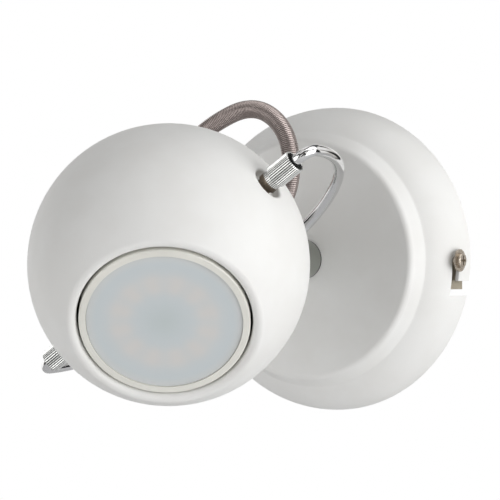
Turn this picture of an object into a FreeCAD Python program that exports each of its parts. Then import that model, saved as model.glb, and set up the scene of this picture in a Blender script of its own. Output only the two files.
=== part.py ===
import FreeCAD, Part
import math
import os

import Sketcher
from FreeCAD import Placement, Rotation, Vector

# Pivoting spotlight wall light, in millimetres.
# The origin is the middle of the wall plate's back, on the wall; +X right, +Z up, the lamp stands out along -Y.
# "Out" in a name is a distance from the wall. A letter pair (across, out) is a point of a turned outline.

os.makedirs("parts", exist_ok=True)
doc = FreeCAD.newDocument("pivoting_spotlight")

# ---------------------------------------------------------------- sizes
sizes = {
    # canopy: a pressed steel dish with a raised flat face
    "canopy_radius": 47.0,
    "dome_radius": 18.6,
    "face_rise": 1.7,
    "face_overhang": 7.2,
    "canopy_wall": 1.0,
    "shoulder_radius": 2.0,
    "shoulder_slope": 65.0,
    "valley_radius": 1.0,
    # the two angled slots that drop over the canopy screws
    "slot_width": 2.8,
    "slot_out": 7.0,
    "slot_lean": 0.5,
    "mouth_near": 6.3,
    "mouth_far": 10.9,
    # wall plate and its screws
    "plate_thick": 1.5,
    "plate_width": 17.8,
    "plate_gap": 1.8,
    "tab_height": 10.0,
    "tab_lean": 15.0,
    "wall_slot_spacing": 60.0,
    "wall_slot_radius": 2.3,
    "wall_slot_length": 9.0,
    "cable_hole_radius": 6.0,
    "side_screw_radius": 1.25,
    "side_screw_length": 7.0,
    "side_head_radius": 2.35,
    "side_head_height": 1.0,
    "side_washer_radius": 3.45,
    "side_washer_thick": 0.5,
    # terminal block and earth point
    "driver_slot": 0.6,
    "block_length": 28.0,
    "block_width": 15.0,
    "block_height": 12.5,
    "block_drop": 24.0,
    "ear_half": 7.5,
    "pole_pitch": 9.0,
    "sleeve_radius": 2.6,
    "sleeve_bore": 1.6,
    "block_screw_radius": 1.5,
    "earth_across": 17.0,
    "earth_screw_radius": 2.0,
    "earth_barrel_length": 3.7,
    # swivel post under the yoke
    "post_radius": 6.0,
    "post_length": 22.2,
    "stud_radius": 4.0,
    "stud_length": 12.0,
    "glide_thick": 0.5,
    "stop_washer_radius": 11.5,
    "stop_washer_thick": 1.0,
    "spring_washer_thick": 1.4,
    "spring_washer_radius": 7.0,
    "post_nut_flats": 13.0,
    "post_nut_height": 5.5,
    "stop_stud_radius": 1.4,
    "stop_stud_length": 1.8,
    "swivel_half_range": 75.0,
    # yoke: one bent round rod, a bow with its ends turned in towards the head
    "rod_radius": 1.7,
    "bow_gap": 14.1,
    "bow_set_back": 1.7,
    "bend_radius": 4.4,
    "yoke_angle": 35.8,
    # head: a ball with a rolled lip round the lamp and a sunk cup at each pivot
    "head_side_play": 1.9,
    "head_tilt": 42.0,
    "head_wall": 1.2,
    "rear_room": 9.1,
    "lip_radius": 1.8,
    "lamp_gap": 0.7,
    "collar_depth": 2.9,
    "cup_radius": 4.8,
    "cup_depth": 3.2,
    "cup_round": 0.8,
    # pivot: flanged bushes, knurled nuts and clips on the rod ends
    "bush_radius": 2.5,
    "bush_flange_radius": 4.6,
    "bush_flange_thick": 1.4,
    "bush_reach": 7.0,
    "nut_radius": 3.55,
    "nut_grip": 8.3,
    "nut_collar_length": 3.3,
    "nut_collar_radius": 3.1,
    "nut_backed_off": 2.2,
    "nut_mouth_depth": 4.2,
    "nut_mouth_radius": 2.95,
    "knurl_count": 32,
    "knurl_depth": 0.28,
    "clip_thick": 0.6,
    "clip_radius": 3.4,
    "clip_gap": 0.3,
    "clip_groove": 0.3,
    "rod_tail": 1.6,
    # strap and lampholder
    "strap_thick": 1.0,
    "strap_width": 12.0,
    "strap_end": 7.0,
    "strap_corner": 9.0,
    "strap_clearance": 0.8,
    "strap_hole_radius": 4.2,
    "holder_radius": 14.0,
    "holder_height": 13.4,
    "holder_gap": 0.3,
    "holder_screw_across": 9.5,
    "holder_screw_radius": 1.5,
    "holder_screw_length": 7.0,
    "tag_thick": 0.6,
    "tongue_start": 4.0,
    # lamp
    "lamp_radius": 25.0,
    "lamp_proud": 1.49,
    "lamp_length": 47.1,
    "lamp_rim_height": 5.9,
    "lamp_rim_width": 2.1,
    "lamp_shell": 1.3,
    "lamp_neck_radius": 13.2,
    "lamp_neck_height": 34.4,
    "diffuser_recess": 0.5,
    "diffuser_thick": 1.7,
    "board_deep": 6.8,
    "board_inset": 4.0,
    "board_thick": 1.6,
    "chip_count": 12,
    "chip_circle": 13.0,
    "chip_side": 2.8,
    "pin_offset": 5.0,
    "pin_neck_radius": 1.6,
    "pin_head_radius": 2.4,
    "pin_neck_length": 4.3,
    "pin_head_length": 2.6,
    "pin_twist": 25.0,
    # flex hose and its glands
    "gland_across": -12.0,
    "gland_up": 14.0,
    "gland_radius": 4.4,
    "gland_height": 5.0,
    "gland_neck_radius": 3.0,
    "gland_neck_length": 5.0,
    "gland_seat": 1.5,
    "gland_nut_flats": 9.0,
    "gland_nut_height": 3.0,
    "hose_radius": 2.75,
    "hose_bore": 2.0,
    "hose_rib_depth": 0.22,
    "hose_ribs": 190,
    "hose_cuff": 3.0,
    "lead_radius": 0.7,
    "lead_spacing": 2.2,
    "lead_under_stud": 3.25,
    "lead_sideways": 5.5,
    "lead_approach": 4.0,
    "lead_entry": 4.5,
    "cable_radius": 1.6,
    "cable_tail": 0.5,
    # clearances
    "running": 0.05,
    "slack": 0.1,
}
sheet = doc.addObject("Spreadsheet::Sheet", "sizes")
for row, (alias, value) in enumerate(sizes.items(), start=1):
    sheet.set(f"A{row}", alias.replace("_", " "))
    sheet.set(f"B{row}", str(value))
    sheet.setAlias(f"B{row}", alias)
doc.recompute()


def size(alias):
    return float(sheet.get(alias))


def bind(thing, prop, formula):
    """Ties a property to the size sheet; every name of the sheet in the formula is looked up there."""
    words = []
    word = ""
    for letter in formula + " ":
        if letter.isalnum() or letter == "_":
            word += letter
            continue
        words.append(f"sizes.{word}" if word in sizes else word)
        words.append(letter)
        word = ""
    thing.setExpression(prop, "".join(words).strip())


# ---------------------------------------------------------------- sizes that follow from the others
def canopy_height():
    return size("dome_radius") + size("face_rise")


def face_radius():
    return size("canopy_radius") - size("dome_radius") + size("face_overhang")


def plate_reach():
    return size("canopy_radius") - size("canopy_wall") - size("plate_gap")


def lip_centre():
    """Middle of the rolled lip, as (radius, height): the ball is as large as lamp, holder and strap need."""
    across = size("lamp_radius") + size("lamp_gap") + size("lip_radius")
    stack = size("lamp_length") + size("holder_gap") + size("holder_height") + size("strap_thick")
    total = stack + size("rear_room") - size("lamp_proud") - (size("lip_radius") - size("head_wall"))
    reach = (total**2 + across**2) / (2 * total)
    return across, math.sqrt(reach**2 - across**2)


def head_radius():
    return math.hypot(*lip_centre()) + size("lip_radius")


def head_inside():
    return head_radius() - size("head_wall")


def lamp_face():
    return lip_centre()[1] + size("lamp_proud")


def lamp_end():
    return lamp_face() - size("lamp_length")


def holder_top():
    return lamp_end() - size("holder_gap")


def strap_seat():
    """Inner face of the strap's base, which the lampholder stands on."""
    return holder_top() - size("holder_height")


def bow_radius():
    return head_radius() + size("bow_gap")


def head_out():
    """How far the pivot stands from the wall."""
    post_top = canopy_height() + size("glide_thick") + size("post_length")
    return post_top + bow_radius() + size("bow_set_back")


def cup_floor():
    return head_radius() - size("cup_depth")


def cup_inside():
    return cup_floor() - size("head_wall")


def bush_inner():
    return cup_inside() - size("strap_thick") - size("bush_flange_thick")


def rear_panel():
    """How far from the ball's middle the rear gland's flange sits: on the edge of its hole."""
    hole = size("gland_neck_radius") + size("running")
    return math.sqrt(head_radius() ** 2 - hole**2)


# ---------------------------------------------------------------- frames
# wall: local Z is straight out from the wall; local X and Y are the row's X and Z
# yoke: turned about the canopy's axis so that local X runs along the pivot
# head: origin in the middle of the ball, local X along the pivot, local Z out of the lamp
# right and left: on the pivot, local Z pointing away from the ball
wall = Placement(Vector(0, 0, 0), Rotation(Vector(1, 0, 0), 90))
yoke = wall * Placement(Vector(0, 0, 0), Rotation(Vector(0, 0, 1), size("yoke_angle")))
head = yoke * Placement(
    Vector(-size("head_side_play"), 0, head_out()), Rotation(Vector(1, 0, 0), size("head_tilt"))
)
right = Placement(Vector(0, 0, 0), Rotation(Vector(0, 1, 0), 90))
left = Placement(Vector(0, 0, 0), Rotation(Vector(0, 1, 0), -90))
back = Placement(Vector(0, 0, 0), Rotation(Vector(0, 1, 0), 180))


def shifted(x, y, z):
    return Placement(Vector(x, y, z), Rotation())


# ---------------------------------------------------------------- ways of making
def new_body(label, place):
    body = doc.addObject("PartDesign::Body", label)
    body.Label = label
    body.Placement = place
    return body


def sketch_on(body, role, lift=0.0):
    sketch = body.newObject("Sketcher::SketchObject", body.Name + "_sketch")
    plane = next(f for f in body.Origin.OriginFeatures if f.Role == role)
    sketch.AttachmentSupport = (plane, [""])
    sketch.MapMode = "FlatFace"
    sketch.AttachmentOffset = shifted(0, 0, lift)
    return sketch


def curves(start, steps):
    """The lines and arcs of an outline. A step is a point, or (point, centre, turn) for an arc, +1 anticlockwise."""
    found = []
    here = start
    for step in steps:
        if isinstance(step[0], tuple):
            there, centre, turn = step
            radius = math.dist(here, centre)
            first = math.atan2(here[1] - centre[1], here[0] - centre[0])
            last = math.atan2(there[1] - centre[1], there[0] - centre[0])
            if turn < 0:
                first, last = last, first
            circle = Part.Circle(Vector(centre[0], centre[1], 0), Vector(0, 0, 1), radius)
            found.append(Part.ArcOfCircle(circle, first, last))
        else:
            there = step
            found.append(Part.LineSegment(Vector(*here, 0), Vector(*there, 0)))
        here = there
    return found


def draw(sketch, start, steps):
    for curve in curves(start, steps):
        sketch.addGeometry(curve)


def lathe(start, steps):
    """A loose solid turned about Z from an outline of (across, out) points."""
    wire = Part.Wire(Part.__sortEdges__([curve.toShape() for curve in curves(start, steps)]))
    wire.rotate(Vector(0, 0, 0), Vector(1, 0, 0), 90)
    return Part.Face(wire).revolve(Vector(0, 0, 0), Vector(0, 0, 1), 360)


def ring(sketch, radius_formula, across=0.0, up=0.0):
    """Adds a circle whose radius stays tied to the size sheet."""
    index = sketch.addGeometry(Part.Circle(Vector(across, up, 0), Vector(0, 0, 1), 1.0 + sketch.GeometryCount))
    number = sketch.addConstraint(Sketcher.Constraint("Radius", index, 1.0 + index))
    sketch.renameConstraint(number, f"radius_{index}")
    bind(sketch, f"Constraints.radius_{index}", radius_formula)
    sketch.addConstraint(Sketcher.Constraint("DistanceX", -1, 1, index, 3, across))
    sketch.addConstraint(Sketcher.Constraint("DistanceY", -1, 1, index, 3, up))
    return index


def turned(label, place, start, steps):
    """A piece turned about its local Z from an outline of (across, out) points."""
    body = new_body(label, place)
    sketch = sketch_on(body, "XZ_Plane")
    draw(sketch, start, steps)
    spin = body.newObject("PartDesign::Revolution", label + "_turn")
    spin.Profile = sketch
    spin.ReferenceAxis = (sketch, ["V_Axis"])
    spin.Angle = 360
    return body


def padded(body, sketch, formula, reverse=False, middle=False):
    pad = body.newObject("PartDesign::Pad", body.Name + "_pad")
    pad.Profile = sketch
    pad.SideType = "Symmetric" if middle else "One side"
    pad.Reversed = reverse
    bind(pad, "Length", formula)
    return pad


def cut(body, sketch, formula, reverse=False, middle=False):
    """A pocket that has to take something away."""
    doc.recompute()
    before = body.Shape.Volume
    pocket = body.newObject("PartDesign::Pocket", body.Name + "_pocket")
    pocket.Profile = sketch
    pocket.SideType = "Symmetric" if middle else "One side"
    pocket.Reversed = reverse
    bind(pocket, "Length", formula)
    doc.recompute()
    if not body.Shape.Volume < before - 1e-6:
        raise ValueError(f"the pocket in {body.Label} cuts nothing")
    return pocket


def disc(label, place, outer, inner, thick):
    """A flat washer: radii and thickness are formulas of the size sheet."""
    body = new_body(label, place)
    sketch = sketch_on(body, "XY_Plane")
    ring(sketch, outer)
    if inner:
        ring(sketch, inner)
    padded(body, sketch, thick)
    return body


def hexagon(sketch, flats):
    corner = flats / 2 / math.cos(math.pi / 6)
    points = [(corner * math.cos(math.pi / 3 * k), corner * math.sin(math.pi / 3 * k)) for k in range(6)]
    draw(sketch, points[0], points[1:] + points[:1])


def group(label, shapes, place=None):
    """Loose solids of one kind that share a node."""
    feature = doc.addObject("Part::Feature", label)
    feature.Label = label
    feature.Shape = Part.makeCompound(shapes)
    if place is not None:
        feature.Placement = place
    return feature


def polar(radius, degrees):
    return radius * math.cos(math.radians(degrees)), radius * math.sin(math.radians(degrees))


# ---------------------------------------------------------------- canopy
def canopy_outline(wall_in):
    """Centres, radii and joints of the dish's arcs, for the face that lies wall_in under the outer one."""
    dome = (size("canopy_radius") - size("dome_radius"), 0.0)
    shoulder = (face_radius(), canopy_height() - size("shoulder_radius"))
    slope = math.radians(size("shoulder_slope"))
    normal = (math.sin(slope), math.cos(slope))
    downhill = (math.cos(slope), -math.sin(slope))
    # the valley arc's centre slides down along the shoulder's slope until it touches the dome
    reach = size("shoulder_radius") + size("valley_radius")
    from_dome = (
        shoulder[0] + reach * normal[0] - dome[0],
        shoulder[1] + reach * normal[1] - dome[1],
    )
    along = from_dome[0] * downhill[0] + from_dome[1] * downhill[1]
    touch = size("dome_radius") + size("valley_radius")
    run = -along - math.sqrt(along**2 - from_dome[0] ** 2 - from_dome[1] ** 2 + touch**2)
    valley = (
        dome[0] + from_dome[0] + run * downhill[0],
        dome[1] + from_dome[1] + run * downhill[1],
    )
    outer_dome = size("dome_radius") - wall_in
    outer_shoulder = size("shoulder_radius") - wall_in
    outer_valley = size("valley_radius") + wall_in
    bearing = math.atan2(valley[1] - dome[1], valley[0] - dome[0])
    return {
        "rim": (dome[0] + outer_dome, 0.0),
        "dome": dome,
        "dome_end": (dome[0] + outer_dome * math.cos(bearing), dome[1] + outer_dome * math.sin(bearing)),
        "valley": valley,
        "slope_foot": (valley[0] - outer_valley * normal[0], valley[1] - outer_valley * normal[1]),
        "slope_head": (shoulder[0] + outer_shoulder * normal[0], shoulder[1] + outer_shoulder * normal[1]),
        "shoulder": shoulder,
        "face_edge": (shoulder[0], shoulder[1] + outer_shoulder),
    }


def dish_radius(out, wall_in=0.0):
    """How far from the axis the dish's dome stands at this distance from the wall."""
    return size("canopy_radius") - size("dome_radius") + math.sqrt((size("dome_radius") - wall_in) ** 2 - out**2)


def make_canopy():
    outer = canopy_outline(0.0)
    inner = canopy_outline(size("canopy_wall"))
    hole = size("stud_radius") + size("running")
    face = canopy_height()
    body = turned(
        "canopy",
        wall,
        (hole, face),
        [
            outer["face_edge"],
            (outer["slope_head"], outer["shoulder"], -1),
            outer["slope_foot"],
            (outer["dome_end"], outer["valley"], 1),
            (outer["rim"], outer["dome"], -1),
            inner["rim"],
            (inner["dome_end"], inner["dome"], 1),
            (inner["slope_foot"], inner["valley"], -1),
            inner["slope_head"],
            (inner["face_edge"], inner["shoulder"], 1),
            (hole, face - size("canopy_wall")),
            (hole, face),
        ],
    )
    # hose gland hole through the face
    sketch = sketch_on(body, "XY_Plane", face - 2 * size("canopy_wall"))
    ring(sketch, "gland_neck_radius + running", size("gland_across"), size("gland_up"))
    cut(body, sketch, "3 * canopy_wall", reverse=True)
    # an angled slot on each side: up from the wall edge, then across to the screw
    near, far = size("mouth_near"), size("mouth_far")
    half = size("slot_width") / 2
    low, high = size("slot_out") - half, size("slot_out") + half
    for side in (1, -1):
        slot = sketch_on(body, "YZ_Plane")
        draw(
            slot,
            (0, high),
            [
                ((0, low), (0, size("slot_out")), -side),
                (-side * near, low),
                (-side * near, -half),
                (-side * far, -half),
                (-side * far, high - size("slot_lean")),
                (0, high),
            ],
        )
        cut(body, slot, "canopy_radius + canopy_wall", reverse=side > 0)
    return body


# ---------------------------------------------------------------- wall plate
def tab_face(out):
    """How far across the outer face of the leaning tab stands at this distance from the wall."""
    return plate_reach() - out * math.tan(math.radians(size("tab_lean")))


def make_wall_plate():
    """A flat strap with a leaning tab folded up at each end, where the canopy screws go."""
    thick, top = size("plate_thick"), size("tab_height")
    lean = math.radians(size("tab_lean"))
    inward = thick / math.cos(lean)
    body = new_body("wall_plate", wall)
    outline = sketch_on(body, "XZ_Plane")
    points = [
        (tab_face(0), 0),
        (tab_face(top), top),
        (tab_face(top) - inward, top),
        (tab_face(thick) - inward, thick),
    ]
    mirrored = [(-x, z) for x, z in reversed(points)]
    draw(outline, points[0], points[1:] + mirrored + points[:1])
    padded(body, outline, "plate_width", middle=True)
    ear = sketch_on(body, "XY_Plane")
    half, foot = size("ear_half"), -size("block_drop") - size("block_width") / 2
    draw(ear, (-half, foot), [(half, foot), (half, 0), (-half, 0), (-half, foot)])
    padded(body, ear, "plate_thick")
    holes = sketch_on(body, "XY_Plane", -thick)
    ring(holes, "cable_hole_radius")
    ring(holes, "block_screw_radius", size("pole_pitch") / 2, -size("block_drop"))
    ring(holes, "earth_screw_radius", size("earth_across"), 0)
    radius = size("wall_slot_radius")
    straight = size("wall_slot_length") / 2 - radius
    for side in (1, -1):
        middle = side * size("wall_slot_spacing") / 2
        draw(
            holes,
            (middle - straight, radius),
            [
                ((middle - straight, -radius), (middle - straight, 0), 1),
                (middle + straight, -radius),
                ((middle + straight, radius), (middle + straight, 0), 1),
                (middle - straight, radius),
            ],
        )
    cut(body, holes, "3 * plate_thick", reverse=True)
    screws = sketch_on(body, "YZ_Plane")
    ring(screws, "side_screw_radius + running", 0, size("slot_out"))
    cut(body, screws, "3 * canopy_radius", middle=True)
    return body


def make_side_screws():
    """One pan-head screw and washer on each side, through the dish's slot into the plate's tab."""
    seat = dish_radius(size("slot_out") - size("side_washer_radius"))
    washers, screws = [], []
    for side in (right, left):
        place = wall * shifted(0, 0, size("slot_out")) * side
        thick = size("side_washer_thick")
        plate = Part.makeCylinder(size("side_washer_radius"), thick)
        hole = Part.makeCylinder(size("side_screw_radius") + size("slack"), thick)
        washer = plate.cut(hole)
        washer.Placement = place * shifted(0, 0, seat)
        washers.append(washer.Solids[0])
        shank = Part.makeCylinder(size("side_screw_radius"), size("side_screw_length"))
        crown = Part.makeCylinder(size("side_head_radius"), size("side_head_height"))
        crown.translate(Vector(0, 0, size("side_screw_length")))
        crown = crown.makeFillet(size("side_head_height") * 0.45, [crown.Edges[0]])
        long, wide = 1.3 * size("side_head_radius"), size("driver_slot")
        deep = 0.8 * size("side_head_height")
        foot = size("side_screw_length") + size("side_head_height") - deep
        screw = shank.fuse(crown)
        for across, along in ((long, wide), (wide, long)):
            screw = screw.cut(Part.makeBox(across, along, deep, Vector(-across / 2, -along / 2, foot)))
        screw = screw.removeSplitter()
        screw.Placement = place * shifted(0, 0, seat + thick - size("side_screw_length"))
        screws.append(screw.Solids[0])
    return group("canopy_washers", washers), group("canopy_screws", screws)


# ---------------------------------------------------------------- terminal block and earth point
def pole_places():
    out = size("plate_thick") + size("block_height") / 2
    return [(step * size("pole_pitch"), -size("block_drop"), out) for step in (-1, 0, 1)]


def make_terminal_block():
    length, width, height = size("block_length"), size("block_width"), size("block_height")
    body = new_body("terminal_block", wall * shifted(0, -size("block_drop"), size("plate_thick")))
    base = sketch_on(body, "XY_Plane")
    x, y = length / 2, width / 2
    draw(base, (-x, -y), [(x, -y), (x, y), (-x, y), (-x, -y)])
    padded(body, base, "block_height")
    valleys = sketch_on(body, "XY_Plane", height)
    notch = size("pole_pitch") - 2 * size("sleeve_radius") - 1.4
    for step in (-1, 1):
        centre = step * size("pole_pitch") / 2
        draw(
            valleys,
            (centre - notch / 2, -y),
            [(centre + notch / 2, -y), (centre + notch / 2, y), (centre - notch / 2, y), (centre - notch / 2, -y)],
        )
    cut(body, valleys, "block_height * 0.3")
    wells = sketch_on(body, "XY_Plane", height)
    for x_pole, _, _ in pole_places():
        for y_pole in (-width / 4, width / 4):
            ring(wells, "sleeve_bore + running", x_pole, y_pole)
    cut(body, wells, "block_height * 0.45")
    fixing = sketch_on(body, "XY_Plane", height)
    ring(fixing, "block_screw_radius + slack", size("pole_pitch") / 2, 0)
    cut(body, fixing, "block_height")
    bores = sketch_on(body, "XZ_Plane")
    for x_pole, _, _ in pole_places():
        ring(bores, "sleeve_radius + running", x_pole, height / 2)
    cut(body, bores, "block_width * 1.1", middle=True)
    return body


def make_terminal_metal():
    """Brass sleeves in the block, each with two screws from the front."""
    sleeves, screws = [], []
    tall = size("block_height")
    for x, z, out in pole_places():
        long = size("block_width") * 0.8
        sleeve = Part.makeCylinder(size("sleeve_radius"), long, Vector(x, z - long / 2, out), Vector(0, 1, 0))
        bore = Part.makeCylinder(size("sleeve_bore"), long, Vector(x, z - long / 2, out), Vector(0, 1, 0))
        sleeve = sleeve.cut(bore)
        for step in (-1, 1):
            middle = Vector(x, z + step * size("block_width") / 4, out)
            screw_radius = size("sleeve_bore") * 0.75
            sleeve = sleeve.cut(Part.makeCylinder(screw_radius + size("running"), 2 * size("sleeve_radius"), middle))
            foot = middle + Vector(0, 0, size("lead_radius") + size("slack"))
            reach = size("plate_thick") + tall * 0.92 - foot.z
            screw = Part.makeCylinder(screw_radius, reach, foot)
            slit = Part.makeBox(4, 0.6, 0.8, foot + Vector(-2, -0.3, reach - 0.8))
            screws.append(screw.cut(slit).Solids[0])
        sleeves.append(sleeve.Solids[0])
    return group("terminal_sleeves", sleeves, wall), group("terminal_screws", screws, wall)


def make_screw(label, place, radius, length, head_radius, head_height):
    """A screw along local Z whose head sits on Z = 0 and whose shank goes down."""
    body = new_body(label, place)
    sketch = sketch_on(body, "XZ_Plane")
    round_off = head_height * 0.4
    draw(
        sketch,
        (0, -length),
        [
            (radius - 0.3, -length),
            (radius, -length + 0.3),
            (radius, 0),
            (head_radius, 0),
            (head_radius, head_height - round_off),
            ((head_radius - round_off, head_height), (head_radius - round_off, head_height - round_off), 1),
            (0, head_height),
            (0, -length),
        ],
    )
    spin = body.newObject("PartDesign::Revolution", label + "_turn")
    spin.Profile = sketch
    spin.ReferenceAxis = (sketch, ["V_Axis"])
    spin.Angle = 360
    cross = sketch_on(body, "XY_Plane", head_height)
    a, b = 0.4, head_radius * 0.62
    corners = [(b, -a), (b, a), (a, a), (a, b), (-a, b), (-a, a), (-b, a), (-b, -a), (-a, -a), (-a, -b), (a, -b)]
    draw(cross, (a, -a), corners + [(a, -a)])
    doc.recompute()
    recess = body.newObject("PartDesign::Pocket", label + "_recess")
    recess.Profile = cross
    recess.Length = head_height * 0.6
    return body


def earth_mouth():
    """Where the tag's barrel starts, below the earth screw: it ends clear of the screw's head."""
    return -1.8 * size("earth_screw_radius") - 4 * size("running") - size("earth_barrel_length")


def earth_level():
    """The barrel's axis, so low that the plate cuts its underside flat."""
    return size("plate_thick") + 1.6 * size("lead_radius")


def make_earth_point():
    """A ring tag under a screw on the wall plate; the tag's barrel points down to the block."""
    thick = size("plate_thick")
    across = size("earth_across")
    radius = size("earth_screw_radius")
    tag_thick = size("tag_thick")
    barrel_foot, along = Vector(across, earth_mouth(), earth_level()), Vector(0, 1, 0)
    tag = Part.makeCylinder(2.1 * radius, tag_thick, Vector(across, 0, thick))
    barrel = Part.makeCylinder(2 * size("lead_radius"), size("earth_barrel_length"), barrel_foot, along)
    under = Part.makeBox(8 * radius, 8 * radius, 4 * thick, Vector(across - 4 * radius, -6 * radius, -3 * thick))
    tag = tag.fuse(barrel).cut(under)
    tag = tag.cut(Part.makeCylinder(radius + size("slack"), 4 * thick, Vector(across, 0, 0)))
    socket_length = 0.8 * size("earth_barrel_length")
    socket = Part.makeCylinder(size("lead_radius") + size("running"), socket_length, barrel_foot, along)
    tag = tag.cut(socket).removeSplitter()
    group("earth_tag", [tag.Solids[0]], wall)
    place = wall * shifted(across, 0, thick + tag_thick)
    shank = radius - size("running")
    return make_screw("earth_screw", place, shank, thick + tag_thick, 1.8 * radius, 0.9 * radius)


# ---------------------------------------------------------------- swivel
def glide_out():
    return canopy_height() + size("glide_thick")


def bow_back():
    """Where the bow's middle crosses the canopy's axis, at the middle of the rod."""
    return head_out() - size("bow_set_back") - bow_radius()


def make_swivel_post():
    """Chrome post with a saddle for the bow on top and a threaded stud down through the canopy."""
    low, top = glide_out(), bow_back()
    tip = low - size("stud_length")
    wide, stud = size("post_radius"), size("stud_radius")
    edge = 0.5
    body = turned(
        "swivel_post",
        yoke,
        (0, tip),
        [
            (stud - edge, tip),
            (stud, tip + edge),
            (stud, low),
            (wide, low),
            (wide, top - edge),
            ((wide - edge, top), (wide - edge, top - edge), 1),
            (0, top),
            (0, tip),
        ],
    )
    saddle = sketch_on(body, "YZ_Plane")
    rod = size("rod_radius") + size("running")
    draw(
        saddle,
        (-rod, top + edge),
        [(-rod, top), ((rod, top), (0, top), 1), (rod, top + edge), (-rod, top + edge)],
    )
    cut(body, saddle, "3 * post_radius", middle=True)
    return body


def make_stop_washer():
    """Keyed to the stud under the canopy's face; the open part of its rim is how far the yoke may swing."""
    body = new_body("stop_washer", yoke * shifted(0, 0, stop_washer_out()))
    sketch = sketch_on(body, "XY_Plane")
    rim = size("stop_washer_radius")
    waist = stop_circle() - size("stop_stud_radius") - 4 * size("running")
    swing = size("swivel_half_range") + math.degrees(math.asin(size("stop_stud_radius") / stop_circle())) + 0.5
    first, last = 270 + swing, 270 - swing
    draw(
        sketch,
        polar(waist, first),
        [
            polar(rim, first),
            (polar(rim, last), (0, 0), 1),
            polar(waist, last),
            (polar(waist, first), (0, 0), 1),
        ],
    )
    ring(sketch, "stud_radius + running")
    padded(body, sketch, "stop_washer_thick")
    return body


def stop_washer_out():
    return canopy_height() - size("canopy_wall") - size("stop_washer_thick")


def stop_circle():
    return size("stop_washer_radius") - size("stop_stud_radius")


def make_stop_stud():
    """A short stud welded inside the canopy's face; the washer's shoulders come up against it."""
    place = yoke * shifted(0, -stop_circle(), canopy_height() - size("canopy_wall")) * back
    return disc("stop_stud", place, "stop_stud_radius", "", "stop_stud_length")


def make_swivel_fixings():
    place = wall * shifted(0, 0, canopy_height())
    disc("glide_washer", place, "post_radius", "stud_radius + slack", "glide_thick")
    spring_out = stop_washer_out() - size("spring_washer_thick")
    body = turned(
        "spring_washer",
        yoke * shifted(0, 0, spring_out),
        (size("stud_radius") + size("running"), 0),
        [
            (size("stud_radius") + size("running") + 0.8, 0),
            (size("spring_washer_radius"), size("spring_washer_thick") - 0.6),
            (size("spring_washer_radius"), size("spring_washer_thick")),
            (size("spring_washer_radius") - 0.8, size("spring_washer_thick")),
            (size("stud_radius") + size("running"), 0.6),
            (size("stud_radius") + size("running"), 0),
        ],
    )
    nut_out = spring_out - size("post_nut_height")
    nut = new_body("post_nut", yoke * shifted(0, 0, nut_out))
    sketch = sketch_on(nut, "XY_Plane")
    hexagon(sketch, size("post_nut_flats"))
    ring(sketch, "stud_radius + running")
    padded(nut, sketch, "post_nut_height")
    return body, nut


# ---------------------------------------------------------------- yoke
def bow_points():
    """The rod's centre line, right half, in (along the pivot, out): tail, bend and bow."""
    pivot = head_out()
    bow_centre = pivot - size("bow_set_back")
    bend_centre_out = pivot - size("bend_radius")
    rise = bend_centre_out - bow_centre
    gap = bow_radius() - size("bend_radius")
    bend_across = math.sqrt(gap**2 - rise**2)
    scale = bow_radius() / gap
    meet = (bend_across * scale, bow_centre + rise * scale)
    return {
        "tail": rod_end(),
        "bend_start": (bend_across, pivot),
        "bend_centre": (bend_across, bend_centre_out),
        "meet": meet,
        "bow_centre": (0, bow_centre),
    }


def clip_seat():
    """The head has slid along the yoke until its right-hand bush is one gap away from the clip."""
    return bush_inner() - size("head_side_play") - size("clip_gap")


def rod_end():
    return clip_seat() - size("clip_thick") - size("rod_tail")


def make_yoke_rod():
    bow = bow_points()
    pivot = head_out()
    body = new_body("yoke_rod", yoke)
    path = sketch_on(body, "XZ_Plane")
    turn_x, turn_out = bow["bend_start"]
    centre_x, centre_out = bow["bend_centre"]
    meet_x, meet_out = bow["meet"]
    tail = bow["tail"]
    draw(
        path,
        (tail, pivot),
        [
            (turn_x, turn_out),
            ((meet_x, meet_out), (centre_x, centre_out), -1),
            ((-meet_x, meet_out), bow["bow_centre"], -1),
            ((-turn_x, turn_out), (-centre_x, centre_out), -1),
            (-tail, pivot),
        ],
    )
    section = sketch_on(body, "YZ_Plane", tail)
    ring(section, "rod_radius", 0, pivot)
    doc.recompute()
    rod = body.newObject("PartDesign::AdditivePipe", "yoke_rod_pipe")
    rod.Profile = section
    rod.Spine = path
    rod.Transition = "Transformed"
    doc.recompute()
    for side in (1, -1):
        groove = sketch_on(body, "XZ_Plane")
        deep = pivot + size("rod_radius") - size("clip_groove")
        inner = side * (clip_seat() - size("clip_thick") - size("running"))
        outer = side * clip_seat()
        top = deep + 1.0
        draw(groove, (inner, deep), [(outer, deep), (outer, top), (inner, top), (inner, deep)])
        groove.addGeometry(Part.LineSegment(Vector(inner, pivot, 0), Vector(outer, pivot, 0)), True)
        before = body.Shape.Volume
        spin = body.newObject("PartDesign::Groove", "yoke_rod_groove")
        spin.Profile = groove
        spin.ReferenceAxis = (groove, ["Axis0"])
        spin.Angle = 360
        doc.recompute()
        if not body.Shape.Volume < before - 1e-3:
            raise ValueError("the clip groove cuts nothing")
    return body


def make_clips():
    """Open retaining clips in the grooves near the rod's ends."""
    clips = []
    bore = size("rod_radius") - size("clip_groove") + size("running")
    for side in (1, -1):
        whole = Part.makeCylinder(size("clip_radius"), size("clip_thick"), Vector(0, 0, 0), Vector(1, 0, 0))
        hole = Part.makeCylinder(bore, size("clip_thick"), Vector(0, 0, 0), Vector(1, 0, 0))
        gap = Part.makeBox(size("clip_thick"), 2 * bore * 0.8, size("clip_radius") + 1)
        gap.translate(Vector(0, -bore * 0.8, -size("clip_radius") - 1))
        clip = whole.cut(hole).cut(gap)
        start = clip_seat() - size("clip_thick") - size("running") / 2
        if side < 0:
            start = -clip_seat() + size("running") / 2
        clip.translate(Vector(start, 0, head_out()))
        clips.append(clip.Solids[0])
    return group("rod_clips", clips, yoke)


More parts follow.
